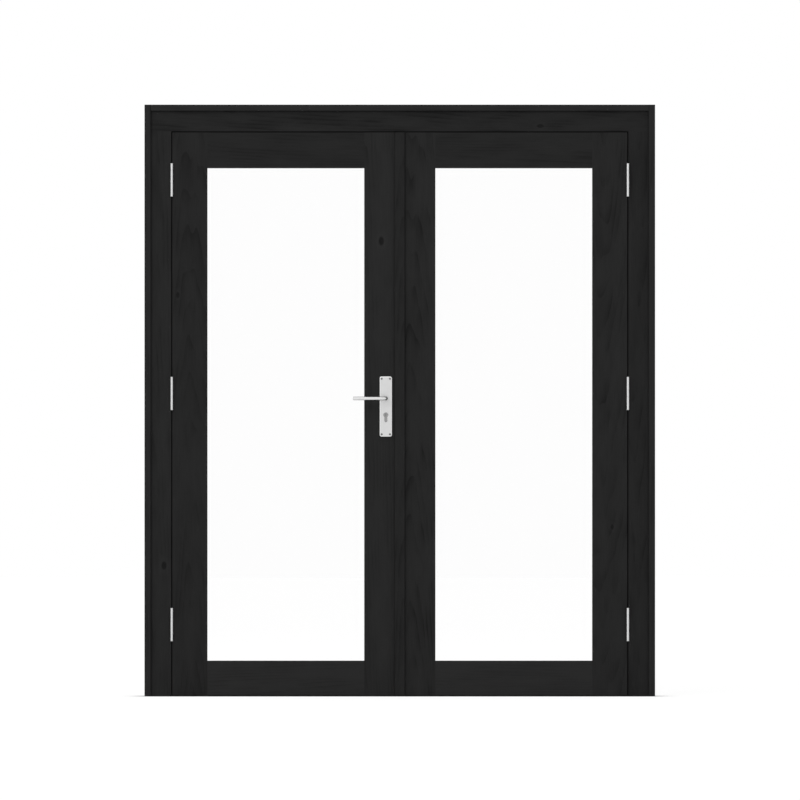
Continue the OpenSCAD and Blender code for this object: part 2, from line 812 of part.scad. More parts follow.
// Rounded rectangle of the plate, grown inwards by c
module plate_section(c) {
    w = plate_w - 2 * c;
    h = plate_h - 2 * c;
    r = plate_corner - c;
    square([w - 2 * r, h], center = true);
    square([w, h - 2 * r], center = true);
    for (sx = [-1, 1]) for (sz = [-1, 1])
        translate([sx * (w / 2 - r), sz * (h / 2 - r)]) circle(r);
}
module front_plate_shape() {
    difference() {
        translate([spin_x, y_front, plate_z]) rotate([90, 0, 0]) {
            linear_extrude(plate_t - plate_bevel * 0.6) plate_section(0);
            hull() {
                translate([0, 0, plate_t - plate_bevel * 0.6 - 0.1]) linear_extrude(0.1) plate_section(0);
                translate([0, 0, plate_t - 0.1]) linear_extrude(0.1) plate_section(plate_bevel);
            }
        }
        bar_y(spin_x, y_front - plate_t - 1, y_front + 1, lever_z, neck_r + run_clear);
        translate([spin_x, y_front - plate_t - 1, cyl_z]) profile_bar(plate_t + 2, slide_gap);
        plate_screws_shape();
    }
}
module front_plate() {
    color(steel) front_plate_shape();
}
module rear_plate() {
    color(steel) mirror([0, 1, 0]) front_plate_shape();
}
module plate_screws() {
    color(dark_steel) plate_screws_shape();
}
module front_lever_shape() {
    grip_y = y_front - lever_out;
    tip_x = spin_x - lever_l;
    difference() {
        union() {
            bar_y(spin_x, y_front - plate_t - 1, y_front - slide_gap, lever_z, neck_r);
            bar_y(spin_x, grip_y + lever_bend + 1, y_front - plate_t, lever_z, shank_r);
            translate([spin_x, grip_y + lever_bend, lever_z]) rotate([-90, 0, 0])
                cylinder(h = 1, r1 = lever_r, r2 = shank_r);
            translate([spin_x - lever_bend, grip_y + lever_bend, lever_z]) rotate([0, 0, -90])
                rotate_extrude(angle = 90) translate([lever_bend, 0]) circle(lever_r);
            bar_x(tip_x + 0.8, spin_x - lever_bend, grip_y, lever_z, lever_r);
            translate([tip_x, grip_y, lever_z]) rotate([0, 90, 0])
                cylinder(h = 0.8, r1 = lever_r - 0.8, r2 = lever_r);
        }
        block(spin_x - spindle_s / 2 - run_clear, spin_x + spindle_s / 2 + run_clear,
            grip_y + lever_bend + 2, y_front + 1,
            lever_z - spindle_s / 2 - run_clear, lever_z + spindle_s / 2 + run_clear);
    }
}
module front_lever() {
    color(steel) front_lever_shape();
}
module rear_lever() {
    color(steel) mirror([0, 1, 0]) front_lever_shape();
}
module spindle() {
    reach = leaf_t / 2 + lever_out - lever_bend - 4;
    color(dark_steel) block(spin_x - spindle_s / 2, spin_x + spindle_s / 2, -reach, reach,
        lever_z - spindle_s / 2, lever_z + spindle_s / 2);
}

// Right leaf
module right_hinge_stile() {
    color(wood) other_side() hinge_stile_body();
}
module right_meeting_stile() {
    color(wood) difference() {
        other_side() meeting_stile_body();
        block(strike_x0 - 1, strike_x1, -face_w / 2, face_w / 2, strike_z0, strike_z1);
        face_opening(strike_x0, latch_pocket_x, latch_z0, latch_z1, 1);
        face_opening(strike_x0, dead_pocket_x, dead_z0, dead_z1, 1);
        for (z = strike_screw_heights) translate([strike_x0, 0, z]) screw_shape();
        bolt_screws(top_plate_z0);
        bolt_screws(low_plate_z0);
    }
}
module right_top_rail() {
    color(wood) other_side() top_rail_body();
}
module right_bottom_rail() {
    color(wood) other_side() bottom_rail_body();
}
module right_front_pane() {
    color(clear_glass) other_side() pane(pane1_y);
}
module right_rear_pane() {
    color(clear_glass) other_side() pane(pane2_y);
}
module right_spacer() {
    color(steel) other_side() spacer_body();
}
module right_glazing_tape() {
    color(black_rubber) other_side() tape_body();
}
module right_setting_blocks() {
    color(black_rubber) other_side() setting_blocks_body();
}
module right_beads() {
    color(wood) other_side() beads_body();
}
module right_screws() {
    color(steel) {
        other_side() at_leaf_screws() screw_shape();
        for (z = strike_screw_heights) translate([strike_x0, 0, z]) screw_shape();
        bolt_screws(top_plate_z0);
        bolt_screws(low_plate_z0);
    }
}
module strike_plate() {
    color(steel) difference() {
        block(strike_x0, strike_x1, -face_w / 2, face_w / 2, strike_z0, strike_z1);
        face_opening(strike_x0 - 1, strike_x1 + 1, latch_z0, latch_z1, 1);
        face_opening(strike_x0 - 1, strike_x1 + 1, dead_z0, dead_z1, 1);
        for (z = strike_screw_heights) translate([strike_x0, 0, z]) screw_shape();
    }
}
module bolt_screws(z0) {
    for (p = bolt_screw_spots)
        translate([p[0], leaf_t / 2 + bolt_plate_t, z0 + p[1]]) rotate([0, 0, -90])
            screw_shape(bolt_screw_l);
}
// Plate with two guides, standing from z0 upwards
module bolt_plate_shape(z0) {
    guide_r = bolt_r + guide_wall;
    difference() {
        union() {
            block(bolt_x - bolt_plate_w / 2, bolt_x + bolt_plate_w / 2, leaf_t / 2,
                leaf_t / 2 + bolt_plate_t, z0, z0 + bolt_plate_l);
            for (f = [0.08, 0.78]) {
                block(bolt_x - guide_r, bolt_x + guide_r, leaf_t / 2 + bolt_plate_t - 0.5, bolt_y,
                    z0 + f * bolt_plate_l, z0 + (f + 0.14) * bolt_plate_l);
                bar_z(bolt_x, bolt_y, z0 + f * bolt_plate_l, z0 + (f + 0.14) * bolt_plate_l, guide_r);
            }
        }
        bar_z(bolt_x, bolt_y, z0 - 1, z0 + bolt_plate_l + 1, bolt_r + run_clear);
        bolt_screws(z0);
    }
}
module top_bolt_plate() {
    color(steel) bolt_plate_shape(top_plate_z0);
}
module bottom_bolt_plate() {
    color(steel) bolt_plate_shape(low_plate_z0);
}
module bolt_rod_shape(z0, z1, knob_z) {
    bar_z(bolt_x, bolt_y, z0, z1, bolt_r);
    bar_y(bolt_x, bolt_y, bolt_y + bolt_r + 9, knob_z, bolt_r - 1);
    translate([bolt_x, bolt_y + bolt_r + 8, knob_z]) rotate([-90, 0, 0]) rotate_extrude()
        polygon([[0, 0], [bolt_r + 1 - knob_chamfer, 0], [bolt_r + 1, knob_chamfer], [bolt_r + 1, 8 - knob_chamfer],
            [bolt_r + 1 - knob_chamfer, 8], [0, 8]]);
}
module top_bolt_rod() {
    color(steel) bolt_rod_shape(top_plate_z0 + 8, top_rod_z1, top_plate_z0 + bolt_plate_l * 0.5 - 8);
}
module bottom_bolt_rod() {
    color(steel) bolt_rod_shape(low_rod_z0, low_plate_z1 - 8, low_plate_z0 + bolt_plate_l * 0.5 + 8);
}

left_jamb();
right_jamb();
head();
threshold();
left_cover_strip();
right_cover_strip();
head_cover_strip();
frame_seals();
left_jamb_hinge_plates();
right_jamb_hinge_plates();
left_hinge_pins();
right_hinge_pins();
top_bolt_keeper();
bottom_bolt_keeper();
frame_screws();
left_hinge_stile();
left_lock_stile();
left_top_rail();
left_bottom_rail();
left_front_pane();
left_rear_pane();
left_spacer();
left_glazing_tape();
left_setting_blocks();
left_beads();
left_door_hinge_plates();
left_screws();
astragal();
lock_case();
lock_faceplate();
cylinder_body();
front_plate();
rear_plate();
plate_screws();
front_lever();
rear_lever();
spindle();
follower();
latch_bolt();
dead_bolt();
cylinder_plug();
right_hinge_stile();
right_meeting_stile();
right_top_rail();
right_bottom_rail();
right_front_pane();
right_rear_pane();
right_spacer();
right_glazing_tape();
right_setting_blocks();
right_beads();
right_door_hinge_plates();
right_screws();
strike_plate();
top_bolt_plate();
bottom_bolt_plate();
top_bolt_rod();
bottom_bolt_rod();
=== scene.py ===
# %% [markdown]
# # A pair of black french doors in their frame
# The doors come from a CAD model that is already the right size and shape, so Blender's work here is the
# finish: timber with its grain, satin metal, glass, and the small pieces that CAD leaves plain, such as the
# cross slots in the screws. The CAD pieces stay where they are. Everything is in metres, with the front of
# the doors looking along -Y.

# %% Load the doors
import math
import bpy
import bmesh
import numpy as np
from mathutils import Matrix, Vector


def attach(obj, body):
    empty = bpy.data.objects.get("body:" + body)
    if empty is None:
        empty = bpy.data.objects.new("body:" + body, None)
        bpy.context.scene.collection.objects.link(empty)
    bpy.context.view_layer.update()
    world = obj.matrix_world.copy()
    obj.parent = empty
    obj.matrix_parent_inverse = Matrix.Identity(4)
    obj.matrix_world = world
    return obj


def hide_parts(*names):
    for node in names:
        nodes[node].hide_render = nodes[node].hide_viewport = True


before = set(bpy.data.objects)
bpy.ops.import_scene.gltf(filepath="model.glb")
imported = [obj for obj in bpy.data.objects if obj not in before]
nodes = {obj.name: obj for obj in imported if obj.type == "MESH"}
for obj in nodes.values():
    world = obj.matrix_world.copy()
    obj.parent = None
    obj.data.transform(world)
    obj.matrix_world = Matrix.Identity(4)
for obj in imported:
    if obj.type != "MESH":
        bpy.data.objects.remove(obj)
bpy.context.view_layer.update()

scene = bpy.context.scene

# %% [markdown]
# ## Small helpers
# Colours are easiest to read off a photograph as sRGB hex values, but shaders mix light in linear values,
# so one function converts them. Another adds a shader or geometry node, sets it up and links its inputs,
# which keeps the node trees short. The last two start a material and put one on pieces of the doors.

# %% Colour and node helpers
def colour(code):
    channels = [int(code[i:i + 2], 16) / 255 for i in (1, 3, 5)]
    linear = [c / 12.92 if c <= 0.04045 else ((c + 0.055) / 1.055) ** 2.4 for c in channels]
    return (*linear, 1.0)


def add(tree, kind, inputs=None, **settings):
    made = tree.nodes.new(kind)
    for name, value in settings.items():
        setattr(made, name, value)
    for socket, value in (inputs or {}).items():
        if isinstance(value, bpy.types.NodeSocket):
            tree.links.new(value, made.inputs[socket])
        else:
            made.inputs[socket].default_value = value
    return made


def new_material(name):
    material = bpy.data.materials.new(name)
    material.use_nodes = True
    tree = material.node_tree
    return material, tree, tree.nodes["Principled BSDF"]


def dress(material, *names):
    for name in names:
        slots = nodes[name].data.materials
        slots.clear()
        slots.append(material)


print("0x26 in linear light:", round(colour("#262626")[0], 4))

# %% [markdown]
# ## Camera
# The photograph looks straight at the doors from far away: the raised strips on the left and right edge
# hide nothing of the jambs beside them. A very long lens at forty-five metres gives that view. One pixel is
# 3.33 mm on the face of the doors, and the bottom of the frame is at pixel row 696. The same numbers turn
# any pixel of the photograph into a point on the front of the doors.

# %% Camera
IMAGE = 800
PIXEL = 0.00333
MIDDLE_COLUMN = 399.8
BOTTOM_ROW = 696.3
DISTANCE = 45.0
FACE_Y = -0.022


def photo_point(column, row):
    return ((column - MIDDLE_COLUMN) * PIXEL, FACE_Y, (BOTTOM_ROW - row) * PIXEL)


camera_data = bpy.data.cameras.new("camera")
camera_data.sensor_width = 36.0
camera_data.lens = camera_data.sensor_width * DISTANCE / (IMAGE * PIXEL)
camera_data.clip_end = 200.0
camera = bpy.data.objects.new("camera", camera_data)
scene.collection.objects.link(camera)
camera.location = Vector(photo_point(IMAGE / 2, IMAGE / 2)) - Vector((0, DISTANCE, 0))
camera.rotation_euler = (math.pi / 2, 0, 0)
scene.camera = camera
print("lens:", round(camera_data.lens, 1), "mm, camera at", [round(v, 4) for v in camera.location])

# %% [markdown]
# ## Light and floor
# Plain white light from all round shows colours as they are written. A broad lamp in front, above and to
# the left adds a little direction, so that the raised strips get a light and a dark side. The background
# could be made white with stronger lamps, but those would wash out the doors. Instead, world and floor are
# white only for the rays that show them: straight to the camera, through glass, or mirrored in metal. For
# the light that falls on the doors the floor is plain pale paint. It darkens within ten centimetres of
# what stands on it, which keeps the thin contact shadow under the doors.

# %% World and lamp
LIGHT_LEVEL = 0.85
AIM = Vector((0, 0, 0.9))


def background_rays(tree):
    """1 for a ray that shows the background to the camera, 0 for light that falls on the doors."""
    path = add(tree, "ShaderNodeLightPath").outputs
    seen = add(tree, "ShaderNodeMath", {0: path["Is Camera Ray"], 1: path["Is Transmission Ray"]},
               operation="MAXIMUM").outputs[0]
    return add(tree, "ShaderNodeMath", {0: seen, 1: path["Is Glossy Ray"]}, operation="MAXIMUM").outputs[0]


world = bpy.data.worlds.new("white_studio")
scene.world = world
world.use_nodes = True
tree = world.node_tree
tree.nodes.clear()
lighting = add(tree, "ShaderNodeBackground", {"Color": colour("#FFFFFF"), "Strength": LIGHT_LEVEL})
backdrop = add(tree, "ShaderNodeBackground", {"Color": colour("#FFFFFF"), "Strength": 1.0})
mixed = add(tree, "ShaderNodeMixShader",
            {0: background_rays(tree), 1: lighting.outputs[0], 2: backdrop.outputs[0]})
add(tree, "ShaderNodeOutputWorld", {"Surface": mixed.outputs[0]})

lamp_data = bpy.data.lights.new("soft_lamp", "AREA")
lamp_data.shape = "DISK"
lamp_data.size = 4.0
lamp_data.energy = 240.0
lamp = bpy.data.objects.new("soft_lamp", lamp_data)
scene.collection.objects.link(lamp)
lamp.location = (-4.0, -8.0, 6.0)
lamp.rotation_euler = (AIM - lamp.location).to_track_quat("-Z", "Y").to_euler()
scene.view_settings.view_transform = "Standard"
print("world:", LIGHT_LEVEL, "lamp:", lamp_data.energy, "W")

# %% [markdown]
# The floor's own white and its paint are mixed. Ambient occlusion measures how much of the space above a
# spot is free, so it finds the places close to the doors, and the white fades out there.

# %% Floor
FLOOR_HALF = 30.0
SHADOW_REACH = 0.1
WHITE_SHARE = 0.8
FULL_SHADOW, NO_SHADOW = 0.42, 0.94
WHITE = 1.06
corners = [(x * FLOOR_HALF, y * FLOOR_HALF, 0) for x, y in ((-1, -1), (1, -1), (1, 1), (-1, 1))]
floor_mesh = bpy.data.meshes.new("floor")
floor_mesh.from_pydata(corners, [], [(0, 1, 2, 3)])
floor = bpy.data.objects.new("floor", floor_mesh)
scene.collection.objects.link(floor)
floor_paint, tree, surface = new_material("white_floor")
surface.inputs["Base Color"].default_value = colour("#FAFAFA")
surface.inputs["Roughness"].default_value = 0.9
surface.inputs["Specular IOR Level"].default_value = 0.0
near = add(tree, "ShaderNodeAmbientOcclusion", {"Distance": SHADOW_REACH}, samples=8)
fade = add(tree, "ShaderNodeMapRange", {"Value": near.outputs["AO"], "From Min": FULL_SHADOW,
           "From Max": NO_SHADOW, "To Min": 0.0, "To Max": WHITE})
glow = add(tree, "ShaderNodeEmission", {"Color": colour("#FFFFFF"), "Strength": fade.outputs[0]})
share = add(tree, "ShaderNodeMath", {0: background_rays(tree), 1: WHITE_SHARE}, operation="MULTIPLY")
both = add(tree, "ShaderNodeMixShader", {0: share.outputs[0], 1: surface.outputs[0], 2: glow.outputs[0]})
tree.links.new(both.outputs[0], tree.nodes["Material Output"].inputs["Surface"])
floor_mesh.materials.append(floor_paint)
print("floor:", 2 * FLOOR_HALF, "m wide")

# %% [markdown]
# ## Black stained pine
# The timber is softwood under an opaque black stain. The stain evens out the colour, but the growth rings
# and the fibres still show as faint lighter and darker lines, and the surface keeps a low satin sheen. A
# board is sawn from a round trunk whose heart lies some centimetres behind the face and leans a little
# against it. Drawing rings round such a leaning heart gives the pointed arches of a flat-sawn board where
# the heart is behind the middle of the board, and straight lines where it is to one side. Each board gets
# its own heart, so no two look alike. The rings come and go in cloudy patches, as they do under stain.
# Knots are placed where the photograph shows them. Rings are 8 mm apart. Fibres are drawn in two sizes, 2
# mm and 0.7 mm wide, both coarser than real so that they show.

# %% Timber finish
STAIN = ("#0D0D0D", "#242424")
BASE_TONE = 0.27
PLAIN_WOOD = 0.92
RING_SPACING = 0.008
FIBRE_SIZE = (0.0021, 0.11)
HAIR_SIZE = (0.0007, 0.045)
CLOUD_SIZE = (0.0417, 0.1667)
CLOUD_SHIFT = 7
WAVE_UNITS = 20
TRUNK_STRETCH = 0.09


def streaks(tree, along, size, detail, roughness=0.5, shift=0.0):
    """Noise drawn out along the board; size is the width and length of one streak."""
    width, length = size
    place = add(tree, "ShaderNodeMapping", {"Vector": along, "Location": (0.0, shift, 0.0),
                "Scale": (1 / width, 1 / width, 1 / length)}).outputs[0]
    return add(tree, "ShaderNodeTexNoise", {"Vector": place, "Scale": 1.0, "Detail": detail,
               "Roughness": roughness}).outputs["Fac"]


def layered(tree, figure, layers):
    """Adds each layer, times its weight, to the figure; a weight below zero darkens."""
    for layer, weight in layers:
        figure = add(tree, "ShaderNodeMath", {0: layer, 1: weight, 2: figure},
                     operation="MULTIPLY_ADD").outputs[0]
    return figure


def knotted(tree, figure, place, run, centre, size):
    """Darkens the figure in a knot's core and brightens a rim round it; a knot is longer along the board."""
    squeeze = (0.6, 1.0, 1.0) if run == "X" else (1.0, 1.0, 0.6)
    away = add(tree, "ShaderNodeVectorMath", {0: place, 1: centre}, operation="SUBTRACT").outputs[0]
    away = add(tree, "ShaderNodeVectorMath", {0: away, 1: squeeze}, operation="MULTIPLY").outputs[0]
    reach = add(tree, "ShaderNodeVectorMath", {0: away}, operation="LENGTH").outputs["Value"]
    core = add(tree, "ShaderNodeMapRange", {"Value": reach, "From Min": 0.3 * size, "From Max": size,
               "To Min": 1.0, "To Max": 0.0}, interpolation_type="SMOOTHSTEP").outputs[0]
    rim = add(tree, "ShaderNodeMapRange", {"Value": reach, "From Min": size, "From Max": 2.4 * size,
              "To Min": 1.0, "To Max": 0.0}, interpolation_type="SMOOTHSTEP").outputs[0]
    return layered(tree, figure, ((core, -1.6), (rim, 0.15)))


def black_stained_pine(name, run, heart, lean, show, tone_and_light, knot=None):
    """run: axis along the board; heart: where the trunk's heart is, across the board and behind it;
    lean: its slant; show: how clearly the grain shows; tone_and_light: darker (-) or lighter (+) than the
    others, partly painted light; knot: its pixel column, pixel row and radius."""
    material, tree, surface = new_material("black_stained_pine_" + name)
    place = add(tree, "ShaderNodeTexCoord").outputs["Object"]
    turn = (0.0, math.pi / 2, 0.0) if run == "X" else (0.0, 0.0, 0.0)
    along = add(tree, "ShaderNodeMapping", {"Vector": place, "Rotation": turn}).outputs[0]
    trunk = add(tree, "ShaderNodeMapping", {"Vector": along, "Location": (-heart[0], -heart[1], 0.0),
                "Rotation": (lean, 0.0, 0.0), "Scale": (1.0, 1.0, TRUNK_STRETCH)}).outputs[0]
    ring_scale = 2 * math.pi / (WAVE_UNITS * RING_SPACING)
    rings = add(tree, "ShaderNodeTexWave", {"Vector": trunk, "Scale": ring_scale, "Distortion": 11.0,
                "Detail": 2.0, "Detail Scale": 0.32, "Detail Roughness": 0.62},
                wave_type="RINGS", rings_direction="Z", wave_profile="SAW").outputs["Fac"]
    fibres = streaks(tree, along, FIBRE_SIZE, 5.0, 0.65)
    hairs = streaks(tree, along, HAIR_SIZE, 2.0, 0.6)
    clouds = streaks(tree, along, CLOUD_SIZE, 3.0, shift=heart[0] * CLOUD_SHIFT)
    strength = add(tree, "ShaderNodeMapRange", {"Value": clouds, "From Min": 0.36, "From Max": 0.56,
                   "To Min": 1.0, "To Max": 0.12}).outputs[0]
    # Late wood is the narrow dark line that ends each ring, and it fades where the clouds are pale
    late_wood = add(tree, "ShaderNodeMath", {0: rings, 1: 2.6}, operation="POWER").outputs[0]
    late_wood = add(tree, "ShaderNodeMath", {0: late_wood, 1: strength}, operation="MULTIPLY").outputs[0]
    figure = layered(tree, 0.2, ((late_wood, -0.62), (fibres, 0.55), (clouds, 0.9)))
    # Between the late wood lines the figure is about PLAIN_WOOD, and its level there doesn't depend on show
    # Adds each board's tone; on the bottom rails that tone is painted light
    figure = layered(tree, BASE_TONE - PLAIN_WOOD * show + tone_and_light, ((figure, show), (hairs, 0.7)))
    if knot:
        column, row, size = knot
        figure = knotted(tree, figure, place, run, photo_point(column, row), size)
    stain = add(tree, "ShaderNodeMix", {0: figure, 6: colour(STAIN[0]), 7: colour(STAIN[1])},
                data_type="RGBA")
    tree.links.new(stain.outputs[2], surface.inputs["Base Color"])
    sheen = add(tree, "ShaderNodeMapRange", {"Value": fibres, "To Min": 0.5, "To Max": 0.66}).outputs[0]
    tree.links.new(sheen, surface.inputs["Roughness"])
    surface.inputs["Specular IOR Level"].default_value = 0.1
    relief = add(tree, "ShaderNodeBump", {"Height": figure, "Strength": 0.25, "Distance": 0.0006})
    tree.links.new(relief.outputs[0], surface.inputs["Normal"])
    return material


print("rings:", RING_SPACING * 1000, "mm, fibres:", FIBRE_SIZE[0] * 1000, "mm")

# %% [markdown]
# Every board has a line of its own: which way it runs, where its heart lies, how the heart leans, how
# clearly the grain shows, and its tone, which is partly painted light. The knots are given by their pixel in
# the photograph, column and row, and their radius in metres.

# %% Boards and knots
knots = {
    "left_jamb": (164.0, 565.5, 0.010),
    "head": (540.3, 126.0, 0.008),
    "left_hinge_stile": (177.8, 295.0, 0.007),
    "left_lock_stile": (381.3, 241.0, 0.011),
    "right_hinge_stile": (612.3, 527.0, 0.006),
}
# Painted light in the tones: the bottom rails are painted lighter, standing in for the light they lack near
# the floor. The head, the top rails and the right jamb are darker than the rest.
boards = {
    "left_jamb": ("Z", (-0.86, 0.06), 0.35, 0.58, 0.0),
    "right_jamb": ("Z", (0.79, 0.10), -0.35, 0.66, -0.14),
    "head": ("X", (1.97, 0.05), 0.5, 0.88, -0.17),
    "threshold": ("X", (0.08, 0.05), 0.3, 0.7, 0.0),
    "left_cover_strip": ("Z", (-0.88, 0.03), 0.2, 0.5, 0.05),
    "right_cover_strip": ("Z", (0.87, 0.02), 0.2, 0.5, 0.05),
    "head_cover_strip": ("X", (2.0, 0.02), 0.2, 0.5, 0.08),
    "left_hinge_stile": ("Z", (-0.69, 0.02), 0.8, 0.58, -0.1),
    "left_lock_stile": ("Z", (-0.16, 0.05), 0.3, 0.5, 0.09),
    "left_top_rail": ("X", (1.90, 0.04), 0.5, 0.5, -0.12),
    "left_bottom_rail": ("X", (-0.02, 0.05), 0.4, 0.5, 0.3),
    "left_beads": ("Z", (-0.30, 0.06), 0.2, 0.5, 0.0),
    "astragal": ("Z", (0.03, 0.04), 0.4, 0.6, -0.08),
    "right_hinge_stile": ("Z", (0.68, 0.16), -0.8, 0.66, -0.03),
    "right_meeting_stile": ("Z", (0.045, 0.02), 0.75, 0.85, 0.0),
    "right_top_rail": ("X", (1.74, 0.05), -0.4, 0.55, -0.1),
    "right_bottom_rail": ("X", (0.14, 0.05), 0.5, 0.5, 0.3),
    "right_beads": ("Z", (0.50, 0.06), 0.2, 0.5, 0.0),
}
for board, grain in boards.items():
    dress(black_stained_pine(board, *grain, knots.get(board)), board)
print("boards:", len(boards), "knots:", len(knots))

# %% [markdown]
# ## Satin steel
# Hinges, handle, bolts and plates are stainless steel, ground with a fine belt. Grinding leaves hairline
# scratches that run one way, blur reflections across them, and make the metal look evenly bright. The
# scratches are noise stretched along the grinding direction, drawn about 0.6 mm apart so that they show.

# %% Metal finishes
SCRATCH_STRETCH = 0.03
PATCH_SIZE = 0.025


def ground_metal(name, tones, roughness, along, spacing=0.0006, edge="#FFFFFF", bevel_highlight=None):
    """tones are the darker and lighter colour; along is the grinding direction; spacing is a scratch's width;
    edge tints what is seen at a slant, and a dark one paints shade there;
    bevel_highlight is the painted highlight colour on the bevels of a plate that faces Y."""
    material, tree, surface = new_material(name)
    spot = add(tree, "ShaderNodeTexCoord").outputs
    fine, coarse = 1.0 / spacing, SCRATCH_STRETCH / spacing
    stretch = tuple(coarse if axis == along else fine for axis in "XYZ")
    lined = add(tree, "ShaderNodeMapping", {"Vector": spot["Object"], "Scale": stretch}).outputs[0]
    scratches = add(tree, "ShaderNodeTexNoise", {"Vector": lined, "Scale": 1.0, "Detail": 2.0}).outputs["Fac"]
    patches = add(tree, "ShaderNodeTexNoise", {"Vector": spot["Object"], "Scale": 1 / PATCH_SIZE,
                  "Detail": 2.0}).outputs["Fac"]
    blur = add(tree, "ShaderNodeMapRange", {"Value": scratches, "To Min": roughness - 0.06,
               "To Max": roughness + 0.06}).outputs[0]
    tree.links.new(blur, surface.inputs["Roughness"])
    shade = add(tree, "ShaderNodeMix", {0: patches, 6: colour(tones[0]), 7: colour(tones[1])},
                data_type="RGBA").outputs[2]
    # Painted highlight: faces that turn away from Y, the bevels, get a lighter colour, as if they caught more
    # light
    if bevel_highlight:
        facing = add(tree, "ShaderNodeSeparateXYZ", {0: spot["Normal"]}).outputs["Y"]
        facing = add(tree, "ShaderNodeMath", {0: facing}, operation="ABSOLUTE").outputs[0]
        bevel_highlight_mask = add(tree, "ShaderNodeMapRange", {"Value": facing, "From Min": 0.85, "From Max": 0.99,
                    "To Min": 1.0, "To Max": 0.0}).outputs[0]
        shade = add(tree, "ShaderNodeMix", {0: bevel_highlight_mask, 6: shade, 7: colour(bevel_highlight)},
                    data_type="RGBA").outputs[2]
    tree.links.new(shade, surface.inputs["Base Color"])
    surface.inputs["Metallic"].default_value = 1.0
    surface.inputs["Specular Tint"].default_value = colour(edge)
    relief = add(tree, "ShaderNodeBump", {"Height": scratches, "Strength": 0.12, "Distance": 0.0001})
    tree.links.new(relief.outputs[0], surface.inputs["Normal"])
    return material


# Ground stainless steel: an even bright grey with soft reflections
satin_steel = ground_metal("satin_stainless_steel", ("#D2D2D2", "#DADADA"), 0.36, "Z")
# The same steel on the handle plates, a little darker, with a painted highlight: a lighter colour on its
# bevels
plate_steel = ground_metal("satin_stainless_steel_plate", ("#CECECE", "#D6D6D6"), 0.36, "Z", bevel_highlight="#E6E6E6")
# The lever is ground finer, and a dark edge tint paints shade on the slanting sides of its round bar, so it
# goes from bright to dark
lever_steel = ground_metal("satin_stainless_steel_lever", ("#D9D9D9", "#E1E1E1"), 0.26, "X", edge="#4A4A4A")
# Zinc plating inside the lock: a duller, slightly blue grey in patches
zinc_plate = ground_metal("zinc_plated_steel", ("#9A9C9E", "#B4B6B8"), 0.45, "Z", 0.002)
# Nickel plating on the cylinder: a mid grey, darker than the steel round it
nickel = ground_metal("satin_nickel_plate", ("#909090", "#9E9E9D"), 0.38, "X")
# Unpolished screws: dark grey heads with blurred reflections
dull_screw = ground_metal("dull_screw_steel", ("#6E6E6E", "#828282"), 0.42, "X")
dress(satin_steel, "left_jamb_hinge_plates", "right_jamb_hinge_plates", "left_hinge_pins", "right_hinge_pins",
      "left_door_hinge_plates", "right_door_hinge_plates", "lock_faceplate", "strike_plate", "latch_bolt",
      "dead_bolt", "top_bolt_keeper", "bottom_bolt_keeper", "top_bolt_plate", "bottom_bolt_plate",
      "top_bolt_rod", "bottom_bolt_rod")
dress(plate_steel, "front_plate", "rear_plate")
dress(lever_steel, "front_lever", "rear_lever")
dress(zinc_plate, "lock_case", "spindle", "follower")
dress(nickel, "cylinder_body", "cylinder_plug")
metals = (satin_steel, plate_steel, lever_steel, zinc_plate, nickel, dull_screw)
print("metal finishes:", [metal.name for metal in metals])

# %% [markdown]
# ## Broken edges on the flat hardware
# Pressed and milled steel never has a perfectly sharp edge: it is tumbled or filed, and the small round
# that is left catches the light. Welding the CAD triangles together, joining flat ones into whole faces and
# bevelling what is still sharp gives each piece such an edge without changing its size. Only flat pieces
# get it: round ones already have exact smooth normals from CAD, which welding would spoil.

# %% Edge rounds on the hardware
SAME_POINT = 1e-6
FLAT_ANGLE = math.radians(0.5)
SHARP_ANGLE = math.radians(40)
edge_rounds = {"top_bolt_keeper": 0.0003, "bottom_bolt_keeper": 0.0003, "lock_faceplate": 0.0003,
               "strike_plate": 0.0003, "latch_bolt": 0.0004, "dead_bolt": 0.0006}
for name, width in edge_rounds.items():
    piece = nodes[name]
    weld = piece.modifiers.new("weld", "WELD")
    weld.merge_threshold = SAME_POINT
    flat = piece.modifiers.new("whole faces", "DECIMATE")
    flat.decimate_type = "DISSOLVE"
    flat.angle_limit = FLAT_ANGLE
    rounds = piece.modifiers.new("edge round", "BEVEL")
    rounds.width = width
    rounds.segments = 2
    rounds.limit_method = "ANGLE"
    rounds.angle_limit = SHARP_ANGLE
    rounds.harden_normals = True
    bpy.context.view_layer.update()
    print(name, len(piece.evaluated_get(bpy.context.evaluated_depsgraph_get()).data.polygons), "faces")

# %% [markdown]
# ## Glass, rubber and the spacer
# Float glass lets nearly all light through. Its green cast shows only at the edges, which are hidden in the
# leaves here, so its colour is a neutral near-white. The black seals are extruded rubber with a dull skin
# that hardly mirrors anything. The spacer between the panes is mill finish aluminium, a little darker,
# bluer and duller than the ground steel.

# %% Glass, rubber and spacer
SMEAR_SIZE = 0.33
RUBBER_GRAIN = 0.0011
clear_glass, tree, surface = new_material("clear_float_glass")
place = add(tree, "ShaderNodeTexCoord").outputs["Object"]
film = add(tree, "ShaderNodeTexNoise", {"Vector": place, "Scale": 1 / SMEAR_SIZE, "Detail": 1.0})
smear = add(tree, "ShaderNodeMapRange", {"Value": film.outputs["Fac"], "To Min": 0.0, "To Max": 0.01})
tree.links.new(smear.outputs[0], surface.inputs["Roughness"])
surface.inputs["Base Color"].default_value = colour("#FEFEFE")
surface.inputs["Transmission Weight"].default_value = 1.0
surface.inputs["IOR"].default_value = 1.5
dress(clear_glass, "left_front_pane", "left_rear_pane", "right_front_pane", "right_rear_pane")

